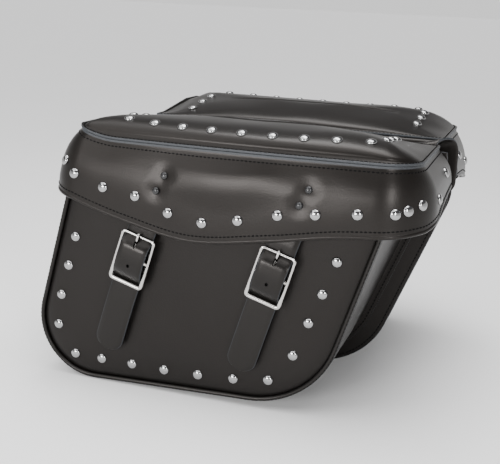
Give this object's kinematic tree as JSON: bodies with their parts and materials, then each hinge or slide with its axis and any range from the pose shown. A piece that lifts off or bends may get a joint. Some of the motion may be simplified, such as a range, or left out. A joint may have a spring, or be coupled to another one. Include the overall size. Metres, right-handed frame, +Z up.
{
  "type": "motorcycle saddlebag pair",
  "caption": "Pair of slanted leather throw-over saddlebags joined by a yoke, with padded hinged lids, buckled straps and quick-release clips behind them.",
  "frame": {"origin": "on the ground under the middle of the pair's overall box", "axes": "+X along the motorcycle, towards the high end of the slanted bags; +Y from the near bag to the far bag, across the motorcycle; +Z up"},
  "size_m": [0.5164, 0.4738, 0.3533],
  "materials": {
    "leather": "smooth oiled black leather, satin",
    "lid_leather": "smooth black leather with a soft sheen",
    "edge_leather": "black leather piping with burnished edges",
    "board": "dark fibreboard",
    "nickel": "bright nickel plate",
    "clip_plastic": "black moulded acetal",
    "webbing": "black woven webbing",
    "black_rivet": "black enamelled steel"
  },
  "bodies": {
    "bags": {"near_front_panel": "leather", "near_front_piping": "edge_leather", "near_gusset": "leather", "near_back_panel": "leather", "near_hinge_strip": "lid_leather", "near_front_board": "board", "near_back_board": "board", "near_clip_female_left": "clip_plastic", "near_clip_female_right": "clip_plastic", "far_front_panel": "leather", "far_front_piping": "edge_leather", "far_gusset": "leather", "far_back_panel": "leather", "far_hinge_strip": "lid_leather", "far_front_board": "board", "far_back_board": "board", "far_clip_female_left": "clip_plastic", "far_clip_female_right": "clip_plastic", "yoke": "lid_leather"},
    "near_lid": {"near_lid_top": "lid_leather", "near_lid_board": "board", "near_lid_fascia": "lid_leather", "near_strap_left": "leather", "near_buckle_left": "nickel", "near_chape_left": "webbing", "near_rivet_upper_left": "black_rivet", "near_rivet_lower_left": "black_rivet", "near_strap_right": "leather", "near_buckle_right": "nickel", "near_chape_right": "webbing", "near_rivet_upper_right": "black_rivet", "near_rivet_lower_right": "black_rivet"},
    "near_prong_left": {"near_prong_left": "nickel"},
    "near_clip_male_left": {"near_clip_male_left": "clip_plastic"},
    "near_prong_right": {"near_prong_right": "nickel"},
    "near_clip_male_right": {"near_clip_male_right": "clip_plastic"},
    "far_lid": {"far_lid_top": "lid_leather", "far_lid_board": "board", "far_lid_fascia": "lid_leather", "far_strap_left": "leather", "far_buckle_left": "nickel", "far_chape_left": "webbing", "far_rivet_upper_left": "black_rivet", "far_rivet_lower_left": "black_rivet", "far_strap_right": "leather", "far_buckle_right": "nickel", "far_chape_right": "webbing", "far_rivet_upper_right": "black_rivet", "far_rivet_lower_right": "black_rivet"},
    "far_prong_left": {"far_prong_left": "nickel"},
    "far_clip_male_left": {"far_clip_male_left": "clip_plastic"},
    "far_prong_right": {"far_prong_right": "nickel"},
    "far_clip_male_right": {"far_clip_male_right": "clip_plastic"}
  },
  "joints": [
    {"name": "near_lid_hinge", "type": "hinge", "parent": "bags", "child": "near_lid", "pos_m": [0.02124, -0.028, 0.324], "axis": [-1, 0, 0], "range_deg": [0, 85]},
    {"name": "near_prong_left_hinge", "type": "hinge", "parent": "near_lid", "child": "near_prong_left", "pos_m": [-0.10676, -0.229, 0.18], "axis": [0.9588, 0, -0.284], "range_deg": [0, 5]},
    {"name": "near_clip_left_slide", "type": "slide", "parent": "near_lid", "child": "near_clip_male_left", "axis": [-0.284, 0, -0.9588], "range_m": [0, 0.02]},
    {"name": "near_prong_right_hinge", "type": "hinge", "parent": "near_lid", "child": "near_prong_right", "pos_m": [0.07524, -0.229, 0.182], "axis": [0.9588, 0, -0.284], "range_deg": [0, 5]},
    {"name": "near_clip_right_slide", "type": "slide", "parent": "near_lid", "child": "near_clip_male_right", "axis": [-0.284, 0, -0.9588], "range_m": [0, 0.02]},
    {"name": "far_lid_hinge", "type": "hinge", "parent": "bags", "child": "far_lid", "pos_m": [0.02124, 0.028, 0.324], "axis": [1, 0, 0], "range_deg": [0, 85]},
    {"name": "far_prong_left_hinge", "type": "hinge", "parent": "far_lid", "child": "far_prong_left", "pos_m": [-0.10676, 0.229, 0.18], "axis": [-0.9588, 0, 0.284], "range_deg": [0, 5]},
    {"name": "far_clip_left_slide", "type": "slide", "parent": "far_lid", "child": "far_clip_male_left", "axis": [-0.284, 0, -0.9588], "range_m": [0, 0.02]},
    {"name": "far_prong_right_hinge", "type": "hinge", "parent": "far_lid", "child": "far_prong_right", "pos_m": [0.07524, 0.229, 0.182], "axis": [-0.9588, 0, 0.284], "range_deg": [0, 5]},
    {"name": "far_clip_right_slide", "type": "slide", "parent": "far_lid", "child": "far_clip_male_right", "axis": [-0.284, 0, -0.9588], "range_m": [0, 0.02]}
  ]
}
